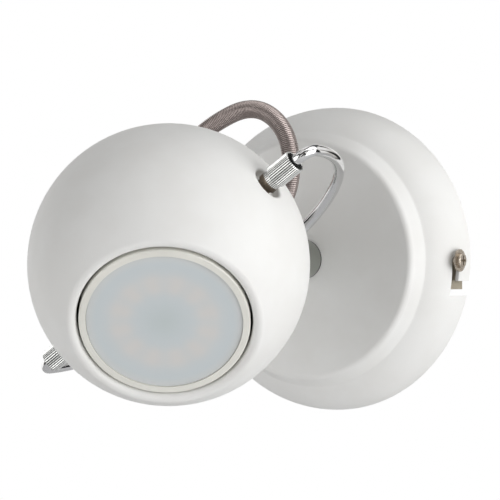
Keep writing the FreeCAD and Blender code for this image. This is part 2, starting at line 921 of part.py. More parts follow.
# ---------------------------------------------------------------- head
def make_head_shell():
    """A hollow ball with a rolled lip and a short collar round the lamp, and a sunk cup at each pivot."""
    outer, inner = head_radius(), head_inside()
    across, up = lip_centre()
    roll = math.hypot(across, up)
    lip, thin = size("lip_radius"), size("lip_radius") - size("head_wall")
    hole = size("gland_neck_radius") + size("running")
    body = turned(
        "head_shell",
        head,
        (hole, -math.sqrt(outer**2 - hole**2)),
        [
            ((across * outer / roll, up * outer / roll), (0, 0), 1),
            ((across - lip, up), (across, up), 1),
            (across - lip, up - size("collar_depth")),
            (across - thin, up - size("collar_depth")),
            (across - thin, up),
            ((across * inner / roll, up * inner / roll), (across, up), -1),
            ((hole, -math.sqrt(inner**2 - hole**2)), (0, 0), -1),
            (hole, -math.sqrt(outer**2 - hole**2)),
        ],
    )
    rim = size("cup_radius") + size("head_wall")
    boss_end = math.sqrt(outer**2 - rim**2) - size("head_wall") / 6
    for side in (1, -1):
        boss = sketch_on(body, "YZ_Plane", side * cup_inside())
        ring(boss, "cup_radius + head_wall")
        pad = body.newObject("PartDesign::Pad", "head_shell_cup")
        pad.Profile = boss
        pad.Reversed = side < 0
        pad.Length = boss_end - cup_inside()
        sunk = sketch_on(body, "YZ_Plane", side * cup_floor())
        ring(sunk, "cup_radius")
        cut(body, sunk, "2 * cup_depth", reverse=side > 0)
        neck = sketch_on(body, "YZ_Plane", side * (cup_inside() - size("head_wall")))
        ring(neck, "bush_radius + slack")
        cut(body, neck, "3 * head_wall", reverse=side > 0)
    soften(body, "cup_radius", "cup_round")
    return body


def soften(body, radius, amount):
    """Rounds every circular edge of this radius that lies on the ball."""
    edges = []
    for number, edge in enumerate(body.Shape.Edges, start=1):
        if not isinstance(edge.Curve, Part.Circle) or abs(edge.Curve.Radius - size(radius)) > 1e-4:
            continue
        local = body.Placement.inverse().multVec(edge.Curve.Center)
        if abs(local.x) > cup_floor() + size("cup_depth") / 3:
            edges.append(f"Edge{number}")
    base = body.Tip
    fillet = body.newObject("PartDesign::Fillet", body.Name + "_round")
    fillet.Base = (base, edges)
    bind(fillet, "Radius", amount)
    doc.recompute()


def make_bushes():
    """Flanged bushes inside the ball; their threaded necks stand out through strap and cup."""
    bore = size("rod_radius") + size("running")
    neck, flange = size("bush_radius"), size("bush_flange_radius")
    seat = bush_inner()
    end = cup_floor() + size("bush_reach")
    edge = 0.3
    steps = [
        (flange, seat),
        (flange, seat + size("bush_flange_thick")),
        (neck, seat + size("bush_flange_thick")),
        (neck, end - edge),
        (neck - edge, end),
        (bore, end),
        (bore, seat),
    ]
    found = []
    for side in (right, left):
        bush = lathe((bore, seat), steps)
        bush.Placement = side
        found.append(bush.Solids[0])
    return group("pivot_bushes", found, head)


def make_nut(label, side, lift):
    """A long round nut with straight knurling on the bush; its collar goes into the cup, its mouth clears the bend."""
    low = cup_floor() + lift
    base = low + size("nut_collar_length")
    top = base + size("nut_grip")
    bore, mouth = size("bush_radius") + size("running"), size("nut_mouth_radius")
    outer, collar = size("nut_radius"), size("nut_collar_radius")
    edge, flare = 0.25, 0.15
    body = turned(
        label,
        head * side,
        (bore, low),
        [
            (collar, low),
            (collar, base),
            (outer - edge, base),
            (outer, base + edge),
            (outer, top - edge),
            (outer - edge, top),
            (mouth + flare, top),
            (mouth, top - flare),
            (mouth, top - size("nut_mouth_depth")),
            (bore, top - size("nut_mouth_depth")),
            (bore, low),
        ],
    )
    count = int(size("knurl_count"))
    depth = size("knurl_depth")
    half = math.pi * outer / count * 0.8
    groove = sketch_on(body, "XY_Plane", base)
    draw(groove, (outer - depth, 0), [(outer + depth, -2 * half), (outer + depth, 2 * half), (outer - depth, 0)])
    cutting = cut(body, groove, "nut_grip", reverse=True)
    pattern = body.newObject("PartDesign::PolarPattern", label + "_knurls")
    pattern.Originals = [cutting]
    pattern.Axis = (groove, ["N_Axis"])
    pattern.Angle = 360
    bind(pattern, "Occurrences", "knurl_count")
    body.Tip = pattern
    doc.recompute()
    return body


def strap_line(inset):
    """The strap's bent outline from one end to the other, inset from its outer face."""
    side = cup_inside()
    deep = size("strap_thick") - strap_seat()
    half = math.sqrt(
        (head_inside() - size("strap_clearance")) ** 2 - deep**2 - (size("strap_width") / 2) ** 2
    )
    corner = size("strap_corner")
    run = math.dist((side, -corner), (half, -deep))
    slope = ((side - half) / run, (deep - corner) / run)
    # a point of the sloping side's inset face, which is then carried up to the end and down to the base
    x, z = half - inset * slope[1], inset * slope[0] - deep
    base_x = x - (z - (inset - deep)) / slope[1] * slope[0]
    corner_z = z + (side - inset - x) / slope[0] * slope[1] if slope[0] > 1e-9 else -corner
    return [(side - inset, size("strap_end")), (side - inset, corner_z), (base_x, inset - deep)]


def make_strap():
    """The bent strap that carries the lampholder between the two pivots."""
    body = new_body("lampholder_strap", head)
    outer, inner = strap_line(0.0), strap_line(size("strap_thick"))
    around = outer + [(-x, z) for x, z in reversed(outer)]
    around += [(-x, z) for x, z in inner] + list(reversed(inner))
    outline = sketch_on(body, "XZ_Plane")
    draw(outline, around[0], around[1:] + around[:1])
    padded(body, outline, "strap_width", middle=True)
    necks = sketch_on(body, "YZ_Plane")
    ring(necks, "bush_radius + slack")
    cut(body, necks, "6 * lamp_radius", middle=True)
    holes = sketch_on(body, "XY_Plane", strap_seat() + size("strap_thick"))
    ring(holes, "strap_hole_radius")
    for side in (1, -1):
        ring(holes, "holder_screw_radius + slack", side * size("holder_screw_across"), 0)
    cut(body, holes, "4 * strap_thick")
    return body


def slot_arc(sketch, half, first, last):
    """A curved slot round the lamp's axis on the circle of the pins."""
    middle = size("pin_offset")
    far, near = middle + half, middle - half
    draw(
        sketch,
        polar(far, first),
        [
            (polar(far, last), (0, 0), 1),
            (polar(near, last), polar(middle, last), 1),
            (polar(near, first), (0, 0), -1),
            (polar(far, first), polar(middle, first), 1),
        ],
    )


def make_lampholder():
    """A round holder with two twist-lock slots: the pins go in at one end and turn to the other."""
    top = holder_top()
    body = new_body("lampholder", head * shifted(0, 0, top))
    plan = sketch_on(body, "XY_Plane")
    ring(plan, "holder_radius")
    padded(body, plan, "holder_height", reverse=True)
    twist = size("pin_twist")
    necks = sketch_on(body, "XY_Plane")
    entries = sketch_on(body, "XY_Plane")
    plate = size("pin_neck_length") - size("holder_gap") - size("slack")
    heads = sketch_on(body, "XY_Plane", -plate)
    for start in (90, 270):
        slot_arc(necks, size("pin_neck_radius") + size("slack"), start, start + twist)
        x, y = polar(size("pin_offset"), start + twist)
        ring(entries, "pin_head_radius + slack", x, y)
        slot_arc(heads, size("pin_head_radius") + size("slack"), start, start + twist)
    cut(body, necks, "pin_neck_length")
    cut(body, entries, "pin_neck_length")
    cut(body, heads, "pin_head_length + 5 * slack")
    wires = sketch_on(body, "XY_Plane", -size("holder_height"))
    for y in lead_entries():
        ring(wires, "lead_radius + running", 0, y)
    cut(body, wires, "holder_height / 3", reverse=True)
    screws = sketch_on(body, "XY_Plane", -size("holder_height"))
    for side in (1, -1):
        ring(screws, "holder_screw_radius + running", side * size("holder_screw_across"), 0)
    cut(body, screws, "holder_screw_length", reverse=True)
    return body


def lead_entries():
    return [size("lead_spacing"), -size("lead_spacing")]


def make_holder_screws():
    """Two screws from behind the strap; the right one also holds the earth tag."""
    under = strap_seat() - size("strap_thick")
    radius, length = size("holder_screw_radius"), size("holder_screw_length")
    wide, tall = 1.8 * radius, 1.1 * radius
    found = []
    for side in (1, -1):
        seat = under - (size("tag_thick") if side > 0 else 0.0)
        steps = [
            (wide - 0.5, -tall),
            (wide, 0.5 - tall),
            (wide, 0),
            (radius, 0),
            (radius, length - 0.3),
            (radius - 0.3, length),
            (0, length),
            (0, -tall),
        ]
        screw = lathe((0, -tall), steps)
        slit = Part.makeBox(4 * wide, 0.8, tall / 2, Vector(-2 * wide, -0.4, -tall))
        screw = screw.cut(slit)
        screw.Placement = shifted(side * size("holder_screw_across"), 0, seat)
        found.append(screw.Solids[0])
    group("lampholder_screws", found, head)
    tag_top = under
    thick = size("tag_thick")
    across = size("holder_screw_across")
    tag = Part.makeCylinder(2.1 * radius, thick, Vector(across, 0, tag_top - thick))
    start = size("tongue_start")
    tongue = Part.makeBox(across - start, 2.4, thick, Vector(start, -1.2, tag_top - thick))
    tag = tag.fuse(tongue).cut(Part.makeCylinder(radius + size("slack"), 4, Vector(across, 0, tag_top - 2)))
    return group("head_earth_tag", [tag.removeSplitter().Solids[0]], head)


# ---------------------------------------------------------------- lamp
def make_lamp_body():
    """Cast reflector-shaped lamp body: rim, waist, taper and a neck for the base."""
    face, wide, shell = lamp_face(), size("lamp_radius"), size("lamp_shell")
    neck = size("lamp_neck_radius")
    low = face - size("lamp_neck_height")
    taper = low + 4.0
    rim = face - size("lamp_rim_height")
    floor = face - size("board_deep") - size("board_thick")
    ledge = face - size("diffuser_recess") - size("diffuser_thick")
    inner_rim = wide - size("lamp_rim_width")
    inset = size("board_inset")
    return turned(
        "lamp_body",
        head,
        (inner_rim, face),
        [
            (wide - 0.5, face),
            ((wide, face - 0.5), (wide - 0.5, face - 0.5), -1),
            (wide, rim),
            (wide - 1.2, rim - 2.0),
            (neck + 3.3, taper + 5.0),
            (neck, taper),
            (neck, low),
            (neck - shell, low),
            (neck - shell, taper + 0.6),
            (neck + 1.4, taper + 5.6),
            (wide - 1.5 * inset, floor),
            (wide - inset, floor),
            (wide - inset, ledge),
            (inner_rim, ledge),
            (inner_rim, face),
        ],
    )


def make_lamp_inside():
    """Board on its ledge, a ring of light chips on it, and the frosted disc in front."""
    floor = lamp_face() - size("board_deep") - size("board_thick")
    board = head * shifted(0, 0, floor)
    disc("led_board", board, "lamp_radius - board_inset - slack", "", "board_thick")
    ledge = lamp_face() - size("diffuser_recess") - size("diffuser_thick")
    disc("diffuser", head * shifted(0, 0, ledge), "lamp_radius - lamp_rim_width - slack", "", "diffuser_thick")
    count, side = int(size("chip_count")), size("chip_side")
    chips = []
    for step in range(count):
        chip = Part.makeBox(side, side, 0.25 * side, Vector(size("chip_circle") - side / 2, -side / 2, 0))
        chip.Placement = Placement(Vector(0, 0, size("board_thick")), Rotation(Vector(0, 0, 1), 360 * step / count))
        chips.append(chip.Solids[0])
    return group("led_chips", chips, board)


def make_lamp_base():
    """Moulded base pushed into the neck, with the two stepped pins of the twist-lock."""
    end = lamp_end()
    low = lamp_face() - size("lamp_neck_height")
    wide = size("lamp_neck_radius") - 0.7
    spigot = size("lamp_neck_radius") - size("lamp_shell") - size("running")
    shank = size("pin_neck_radius") * 0.7
    body = turned(
        "lamp_base",
        head * shifted(0, 0, end),
        (0, 0),
        [
            (wide - 1.0, 0),
            ((wide, 1.0), (wide - 1.0, 1.0), 1),
            (wide, low - end),
            (spigot, low - end),
            (spigot, low - end + 3.5),
            (0, low - end + 3.5),
            (0, 0),
        ],
    )
    holes = sketch_on(body, "XY_Plane")
    for side in (1, -1):
        holes.addGeometry(Part.Circle(Vector(0, side * size("pin_offset"), 0), Vector(0, 0, 1), shank))
    cut(body, holes, "pin_neck_length", reverse=True)
    pins = []
    neck, head_width = size("pin_neck_radius"), size("pin_head_radius")
    neck_end = -size("pin_neck_length")
    tip = neck_end - size("pin_head_length")
    steps = [
        (head_width - 0.4, tip),
        (head_width, tip + 0.4),
        (head_width, neck_end),
        (neck, neck_end),
        (neck, 0),
        (shank - size("running"), 0),
        (shank - size("running"), size("pin_neck_length") - 0.3),
        (0, size("pin_neck_length") - 0.3),
        (0, tip),
    ]
    for side in (1, -1):
        pin = lathe((0, tip), steps)
        pin.Placement = shifted(0, side * size("pin_offset"), 0)
        pins.append(pin.Solids[0])
    return group("lamp_pins", pins, head * shifted(0, 0, end))


# ---------------------------------------------------------------- glands
def make_gland(label, nut_label, place, nut_top):
    """A round gland through a panel at local Z = 0, and its nut behind; the hose sits in the gland's socket."""
    neck, bore = size("gland_neck_radius"), size("hose_bore")
    wide, tall = size("gland_radius"), size("gland_height")
    socket = size("hose_radius") + size("slack")
    back_end = -size("gland_neck_length")
    edge = 0.6
    turned(
        label,
        place,
        (bore, back_end),
        [
            (neck - 0.3, back_end),
            (neck, back_end + 0.3),
            (neck, 0),
            (wide, 0),
            (wide, tall - edge),
            ((wide - edge, tall), (wide - edge, tall - edge), 1),
            (socket, tall),
            (socket, size("gland_seat")),
            (bore, size("gland_seat")),
            (bore, back_end),
        ],
    )
    nut = new_body(nut_label, place * shifted(0, 0, nut_top))
    sketch = sketch_on(nut, "XY_Plane")
    hexagon(sketch, size("gland_nut_flats"))
    ring(sketch, "gland_neck_radius + running")
    padded(nut, sketch, "gland_nut_height", reverse=True)
    return nut


def canopy_gland_place():
    return wall * shifted(size("gland_across"), size("gland_up"), canopy_height())


def head_gland_place():
    return head * back * shifted(0, 0, rear_panel())


def make_glands():
    make_gland("canopy_gland", "canopy_gland_nut", canopy_gland_place(), -size("canopy_wall"))
    corner = size("gland_nut_flats") / 2 / math.cos(math.pi / 6)
    nut_top = math.sqrt(head_inside() ** 2 - corner**2) - size("running") - rear_panel()
    make_gland("head_gland", "head_gland_nut", head_gland_place(), nut_top)


# ---------------------------------------------------------------- hose, cable and leads
class Route:
    """Straight runs through chosen points, joined by tangent arcs as large as the runs allow; extra lengthens both ends."""

    def __init__(self, points, extra=0.0):
        self.parts = []
        radii = []
        start = points[0] - (points[1] - points[0]).normalize() * extra
        for before, corner, after in zip(points, points[1:], points[2:]):
            into = (corner - before).normalize()
            out_of = (after - corner).normalize()
            turn = into.getAngle(out_of)
            tangent = 0.45 * min((corner - before).Length, (after - corner).Length)
            radius = tangent / math.tan(turn / 2)
            radii.append(round(radius, 1))
            leave, join = corner - into * tangent, corner + out_of * tangent
            axis = into.cross(out_of).normalize()
            self.parts.append(("run", start, leave, axis, 0.0))
            self.parts.append(("arc", leave, leave + axis.cross(into) * radius, axis, turn))
            start = join
        end = points[-1] + (points[-1] - points[-2]).normalize() * extra
        self.parts.append(("run", start, end, Vector(0, 0, 1), 0.0))
        self.first = (points[1] - points[0]).normalize()
        self.radii = radii

    def length(self):
        return sum(self.length_of(part) for part in self.parts)

    @staticmethod
    def length_of(part):
        kind, start, other, _, turn = part
        return (start - other).Length * (turn if kind == "arc" else 1.0)

    def at(self, distance):
        """Place on the route: local Z along it, local X carried along without twisting."""
        spin = Rotation(Vector(0, 0, 1), self.first)
        for part in self.parts:
            kind, start, other, axis, turn = part
            long = self.length_of(part)
            along = min(distance, long)
            if kind == "run":
                spot = start + (other - start) * (along / long)
            else:
                swung = Rotation(axis, math.degrees(turn * along / long))
                spot = other + swung.multVec(start - other)
                spin = swung * spin
            distance -= long
            if distance <= 1e-9:
                break
        return Placement(spot, spin)

    def wire(self):
        edges = []
        for kind, start, other, axis, turn in self.parts:
            if kind == "run":
                edges.append(Part.LineSegment(start, other).toShape())
                continue
            half = other + Rotation(axis, math.degrees(turn / 2)).multVec(start - other)
            end = other + Rotation(axis, math.degrees(turn)).multVec(start - other)
            edges.append(Part.Arc(start, half, end).toShape())
        return Part.Wire(edges)


def hoop(place, radius):
    edge = Part.Circle(Vector(0, 0, 0), Vector(0, 0, 1), radius).toShape()
    edge.Placement = place
    return Part.Wire([edge])


def tube(route, radius):
    """A plain round bar along the route, checked against its section times its length."""
    bar = route.wire().makePipeShell([hoop(route.at(0.0), radius)], True, True)
    expected = math.pi * radius**2 * route.length()
    if abs(bar.Volume - expected) > 0.02 * expected:
        raise ValueError("a tube's volume is not its section times its length")
    return bar.Solids[0]


def hose_ends():
    seat = shifted(0, 0, size("gland_seat"))
    start = (canopy_gland_place() * seat).Base
    end = (head_gland_place() * seat).Base
    start_way = (wall.Rotation).multVec(Vector(0, 0, 1))
    end_way = (head * back).Rotation.multVec(Vector(0, 0, 1))
    return start, start_way, end, end_way


def hose_route(extra=0.0):
    """The hose leaves the canopy straight, rises in a loop beside the bow and comes down on the ball's back."""
    start, start_way, end, end_way = hose_ends()
    free = [Vector(2.5, -44.0, 12.5), Vector(13.0, -51.0, 24.0), Vector(11.0, -51.5, 40.0)]
    free += [Vector(-3.0, -47.5, 47.5), Vector(-18.0, -49.0, 40.5)]
    points = [start, start + start_way * 11.7] + free + [end + end_way * 14.6, end]
    return Route(points, extra)


def make_hose():
    """Corrugated metal hose: rings pressed in the wall, plain cuffs in the two glands."""
    route = hose_route()
    whole = route.length()
    cuff = size("hose_cuff")
    count = int(size("hose_ribs"))
    pitch = (whole - 2 * cuff) / count
    crest = size("hose_radius")
    root = crest - size("hose_rib_depth")
    rings = [(0.0, crest), (cuff - 0.05 * pitch, crest)]
    for rib in range(count):
        start = cuff + rib * pitch
        rings += [(start + 0.15 * pitch, root), (start + 0.35 * pitch, root)]
        rings += [(start + 0.6 * pitch, crest), (start + 0.9 * pitch, crest)]
    rings += [(whole, crest)]
    skin = Part.makeLoft([hoop(route.at(along), radius) for along, radius in rings], False, True)
    bore = size("hose_bore")
    steps = int(count / 2)
    lining = Part.makeLoft([hoop(route.at(whole * step / steps), bore) for step in range(steps + 1)], False, True)
    ends = []
    for along in (0.0, whole):
        rim = Part.Face([hoop(route.at(along), crest)]).cut(Part.Face([hoop(route.at(along), bore)]))
        ends.append(rim.Faces[0])
    shell = Part.makeShell(skin.Faces + lining.Faces + ends)
    shell.sewShape(1e-5)
    hose = Part.makeSolid(Part.Shell(shell.Faces))
    if hose.Volume < 0:
        hose.reverse()
    print("hose length", round(whole, 1), "bend radii", route.radii, "volume", round(hose.Volume, 1))
    group("flex_hose", [hose])
    reach = size("gland_seat") + size("gland_neck_length") + size("cable_tail")
    cable = hose_route(reach)
    return group("hose_cable", [tube(cable, size("cable_radius"))])


def core_spots():
    """Where the three cores stand in the cable's section."""
    return [polar(size("cable_radius") - size("lead_radius") - 0.03, angle) for angle in (150, 270, 30)]


def make_canopy_leads():
    """Three cores from the hose to the block, and the earth link from the plate's tag to the block."""
    out = canopy_height() - size("gland_neck_length") - size("cable_tail")
    across, up = size("gland_across"), size("gland_up")
    level = size("plate_thick") + size("block_height") / 2
    top = size("block_width") / 2 - size("block_drop")
    beside = size("lead_radius") + size("running")
    # the cores cross below the stud's tip
    crossing = glide_out() - size("stud_length") - size("lead_under_stud")
    names = ("canopy_live_lead", "canopy_neutral_lead", "canopy_earth_lead")
    # the core nearest to the block turns away first
    for name, (dx, dy), (pole, _, _), straight in zip(names, core_spots(), pole_places(), (6.0, 4.0, 6.0)):
        end_x = pole - (beside if name == "canopy_earth_lead" else 0.0)
        points = [
            Vector(across + dx, up + dy, out),
            Vector(across + dx, up + dy, out - straight),
            Vector(across + dx + (end_x - across) * 0.2, up + dy - size("lead_sideways"), crossing),
            Vector(end_x, top + size("lead_approach"), level),
            Vector(end_x, top - size("lead_entry"), level),
        ]
        group(name, [tube(Route(points), size("lead_radius"))], wall)
    end_x = size("pole_pitch") + beside
    points = [
        Vector(size("earth_across"), earth_mouth() + 0.7 * size("earth_barrel_length"), earth_level()),
        Vector(size("earth_across"), earth_mouth() - 3.0, earth_level()),
        Vector(end_x, top + 2.5, level),
        Vector(end_x, top - size("lead_entry"), level),
    ]
    return group("plate_earth_lead", [tube(Route(points), size("lead_radius"))], wall)


def make_head_leads():
    """Two cores up into the lampholder and the earth core across to its tag."""
    low = -(rear_panel() - size("gland_neck_length") - size("cable_tail"))
    seat = strap_seat()
    lead = size("lead_radius")
    earth, *others = [(-dx, dy) for dx, dy in core_spots()]
    for name, (dx, dy), y in zip(("head_live_lead", "head_neutral_lead"), others, reversed(lead_entries())):
        points = [
            Vector(dx, dy, low),
            Vector(dx, dy, low + 1.6),
            Vector(0, y, seat - 2.0),
            Vector(0, y, seat + size("holder_height") / 3 - 0.6),
        ]
        group(name, [tube(Route(points), lead)], head)
    under_tag = seat - size("strap_thick") - size("tag_thick") - lead - size("running")
    points = [
        Vector(*earth, low),
        Vector(*earth, low + 1.3),
        Vector(size("tongue_start") - 0.4, 0, under_tag),
        Vector(size("tongue_start") + 2.2, 0, under_tag),
    ]
    return group("head_earth_lead", [tube(Route(points), lead)], head)


# ---------------------------------------------------------------- the light
def make_all():
    make_canopy()
    make_wall_plate()
    make_side_screws()
    make_terminal_block()
    make_terminal_metal()
    make_earth_point()
    seat = size("plate_thick") + size("block_height") * 0.55
    place = wall * shifted(size("pole_pitch") / 2, -size("block_drop"), seat)
    radius = size("block_screw_radius") - size("running")
    make_screw("block_screw", place, radius, seat, 1.1 * radius, 1.2)
    make_swivel_post()
    make_stop_washer()
    make_stop_stud()
    make_swivel_fixings()
    make_yoke_rod()
    make_clips()
    make_head_shell()
    make_bushes()
    make_nut("knurled_nut_right", right, size("nut_backed_off"))
    make_nut("knurled_nut_left", left, 0.0)
    make_strap()
    make_lampholder()
    make_holder_screws()
    make_lamp_body()
    make_lamp_inside()
    make_lamp_base()
    make_glands()
    make_hose()
    make_canopy_leads()
    make_head_leads()


def check_and_write():
    doc.recompute()
    faults = [f"{thing.Label} {thing.State}" for thing in doc.Objects if {"Invalid", "Error"} & set(thing.State)]
    pieces = [thing for thing in doc.Objects if thing.TypeId in ("PartDesign::Body", "Part::Feature")]
    for piece in pieces:
        if piece.Shape.isNull() or not piece.Shape.isValid() or not piece.Shape.Solids:
            faults.append(f"{piece.Label} has no valid shape")
    if faults:
        raise ValueError("; ".join(faults))
    for piece in pieces:
        piece.Shape.exportStep(f"parts/{piece.Label}.step")
    print(len(pieces), "nodes written")


make_all()
check_and_write()
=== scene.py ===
import math

import bpy
from mathutils import Matrix, Vector


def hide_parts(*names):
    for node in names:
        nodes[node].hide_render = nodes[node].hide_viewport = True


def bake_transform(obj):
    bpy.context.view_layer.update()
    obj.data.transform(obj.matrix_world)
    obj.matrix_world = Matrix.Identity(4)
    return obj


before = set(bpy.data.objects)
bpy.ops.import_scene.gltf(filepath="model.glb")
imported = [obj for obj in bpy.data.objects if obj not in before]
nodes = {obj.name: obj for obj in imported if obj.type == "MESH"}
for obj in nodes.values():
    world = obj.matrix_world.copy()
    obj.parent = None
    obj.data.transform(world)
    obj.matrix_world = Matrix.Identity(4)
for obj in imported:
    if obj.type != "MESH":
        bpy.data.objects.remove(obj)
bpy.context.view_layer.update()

# the view of the photograph
view = {
    "place": (0.780928, -1.437961, 0.016744),
    "right": (0.8708093, 0.49158902, 0.0056039),
    "up": (-0.00913349, 0.00478026, 0.99994686),
    "back": (0.49153611, -0.87081421, 0.00865262),
    "lens": 378.37,
    "sensor": 36.0,
}

# directions and places that many pieces share
shape = {
    "ballMiddle": Vector((-0.001541, -0.1005002, -0.0011114)),
    "pivot": Vector((0.8110638, 0.0, 0.5849577)),
    "lampOut": Vector((0.3914131, -0.7431448, -0.5427076)),
}
shape["lampUp"] = shape["lampOut"].cross(shape["pivot"])


def placeCamera():
    lens = bpy.data.cameras.new("photoCamera")
    lens.lens = view["lens"]
    lens.sensor_width = view["sensor"]
    lens.clip_start = 0.05
    lens.clip_end = 30.0
    camera = bpy.data.objects.new("photoCamera", lens)
    turn = Matrix((view["right"], view["up"], view["back"])).transposed().to_4x4()
    camera.matrix_world = Matrix.Translation(view["place"]) @ turn
    bpy.context.scene.collection.objects.link(camera)
    bpy.context.scene.camera = camera


placeCamera()
bpy.context.scene.view_settings.view_transform = "Standard"
print("camera placed")


# one output of a node; arithmetic on it adds Math nodes
class Flow:
    def __init__(self, graph, socket):
        self.graph = graph
        self.socket = socket

    def work(self, operation, first, second=0.0):
        return self.graph.add("ShaderNodeMath", {"operation": operation}, [first, second])

    def wave(self, operation):
        return self.work(operation, self)

    def __add__(self, other):
        return self.work("ADD", self, other)

    def __radd__(self, other):
        return self.work("ADD", other, self)

    def __sub__(self, other):
        return self.work("SUBTRACT", self, other)

    def __rsub__(self, other):
        return self.work("SUBTRACT", other, self)

    def __mul__(self, other):
        return self.work("MULTIPLY", self, other)

    def __rmul__(self, other):
        return self.work("MULTIPLY", other, self)

    def __truediv__(self, other):
        return self.work("DIVIDE", self, other)

    def __rtruediv__(self, other):
        return self.work("DIVIDE", other, self)

    def __pow__(self, other):
        return self.work("POWER", self, other)


# the nodes of a material or of the world
class Graph:
    def __init__(self, tree):
        self.tree = tree

    def add(self, kind, settings=None, inputs=None, output=0):
        node = self.tree.nodes.new(kind)
        for name, value in (settings or {}).items():
            if name == "stops":
                ramp = node.color_ramp
                while len(ramp.elements) < len(value):
                    ramp.elements.new(0.5)
                for element, (place, colour) in zip(ramp.elements, value):
                    element.position = place
                    element.color = (*colour, 1.0)
            else:
                setattr(node, name, value)
        wanted = inputs.items() if isinstance(inputs, dict) else enumerate(inputs or [])
        for socket, value in wanted:
            self.plug(node.inputs[socket], value)
        return Flow(self, node.outputs[output]) if len(node.outputs) else node

    def plug(self, socket, value):
        if isinstance(value, Flow):
            self.tree.links.new(value.socket, socket)
        elif hasattr(socket.default_value, "__len__") and len(socket.default_value) == 4 and len(value) == 3:
            socket.default_value = (*value, 1.0)
        else:
            socket.default_value = value

    def place(self):
        return self.add("ShaderNodeTexCoord", output="Object")

    def noise(self, scale, detail=2.0, roughness=0.5, vector=None):
        inputs = {"Vector": vector or self.place(), "Scale": scale, "Detail": detail, "Roughness": roughness}
        return self.add("ShaderNodeTexNoise", None, inputs)

    def mix(self, mask, first, second):
        # the colour sockets of the Mix node are its inputs 6 and 7, and its output 2
        inputs = {0: mask, 6: first, 7: second}
        return self.add("ShaderNodeMix", {"data_type": "RGBA"}, inputs, output=2)

    def limits(self, flow, low, high, newLow=0.0, newHigh=1.0):
        settings = {"interpolation_type": "SMOOTHSTEP"}
        return self.add("ShaderNodeMapRange", settings, [flow, low, high, newLow, newHigh])

    def vector(self, operation, first, second, output=0):
        return self.add("ShaderNodeVectorMath", {"operation": operation}, [first, tuple(second)], output)

    def along(self, direction, origin=(0.0, 0.0, 0.0)):
        # distance from the origin in one direction
        return self.vector("DOT_PRODUCT", self.vector("SUBTRACT", self.place(), origin), direction, "Value")


class Finish(Graph):
    def __init__(self, name, **sockets):
        self.material = bpy.data.materials.new(name)
        self.material.use_nodes = True
        super().__init__(self.material.node_tree)
        self.shader = self.tree.nodes["Principled BSDF"]
        self.set(**sockets)

    def set(self, **sockets):
        names = {"base": "Base Color", "specular": "Specular IOR Level"}
        for name, value in sockets.items():
            spaced = "".join(" " + letter if letter.isupper() else letter for letter in name)
            words = names.get(name, spaced.title())
            self.plug(self.shader.inputs[words], value)

    def bump(self, height, depth, strength):
        inputs = {"Strength": strength, "Distance": depth, "Height": height}
        self.set(normal=self.add("ShaderNodeBump", None, inputs))
        return self


powder = {
    "colour": (0.85, 0.848, 0.832),
    "shadeColour": (0.825, 0.82, 0.8),
    "roughness": 0.55,
    "roughnessSpread": 0.07,
    "drift": 60.0,
    "grain": 2600.0,
    "grainDepth": 0.00004,
    "grainStrength": 0.6,
}


def powderCoat():
    paint = Finish("powderCoat", specular=0.4)
    drift = paint.noise(powder["drift"], 3.0)
    grain = paint.noise(powder["grain"], 3.0, 0.6)
    low = powder["roughness"] - powder["roughnessSpread"]
    high = powder["roughness"] + powder["roughnessSpread"]
    paint.set(
        base=paint.mix(paint.limits(drift, 0.35, 0.65), powder["colour"], powder["shadeColour"]),
        roughness=paint.limits(grain, 0.3, 0.7, low, high),
    )
    return paint.bump(grain, powder["grainDepth"], powder["grainStrength"]).material


plating = {
    "chromeColour": (0.72, 0.72, 0.73),
    # the post's chrome colour is darker than the rod's: a painted dark reflection
    "postDarkReflectionColour": (0.4, 0.415, 0.385),
    "chromeRoughness": 0.05,
    "chromeHaze": 0.05,
    "cloud": 900.0,
    "tone": 150.0,
    "scratch": 3000.0,
    "scratchDepth": 0.00001,
    "scratchStrength": 0.4,
    "darkerShare": 0.86,
    "nickelColour": (0.5, 0.44, 0.37),
    "zincColour": (0.42, 0.38, 0.305),
    "brassColour": (0.79, 0.62, 0.32),
    "bushColour": (0.24, 0.19, 0.15),
}


def chrome(name, colour):
    metal = Finish(name, base=colour, metallic=1.0)
    cloud = metal.noise(plating["cloud"], 3.0)
    low = plating["chromeRoughness"]
    metal.set(roughness=metal.limits(cloud, 0.3, 0.75, low, low + plating["chromeHaze"]))
    return metal.material


def shaded(colour, share):
    return tuple(share * part for part in colour)


def satinMetal(name, colour, roughness):
    metal = Finish(name, metallic=1.0)
    scratch = metal.noise(plating["scratch"], 4.0, 0.65)
    tone = metal.noise(plating["tone"], 3.0)
    darker = shaded(colour, plating["darkerShare"])
    metal.set(
        base=metal.mix(metal.limits(tone, 0.35, 0.7), colour, darker),
        roughness=metal.limits(scratch, 0.3, 0.7, roughness - 0.06, roughness + 0.08),
    )
    return metal.bump(scratch, plating["scratchDepth"], plating["scratchStrength"]).material


nut = {
    "colour": (0.78, 0.79, 0.78),
    # the groove colour is painted shade in the flutes; the collar colour is painted shade on the collar
    # inside the cup
    "grooveShadeColour": (0.1, 0.095, 0.085),
    "collarShadeColour": (0.2, 0.165, 0.13),
    "roughness": 0.36,
    "flutes": 32,
    "grain": 2400.0,
    "rightGrip": 0.0425,
    "leftGrip": 0.0418,
}


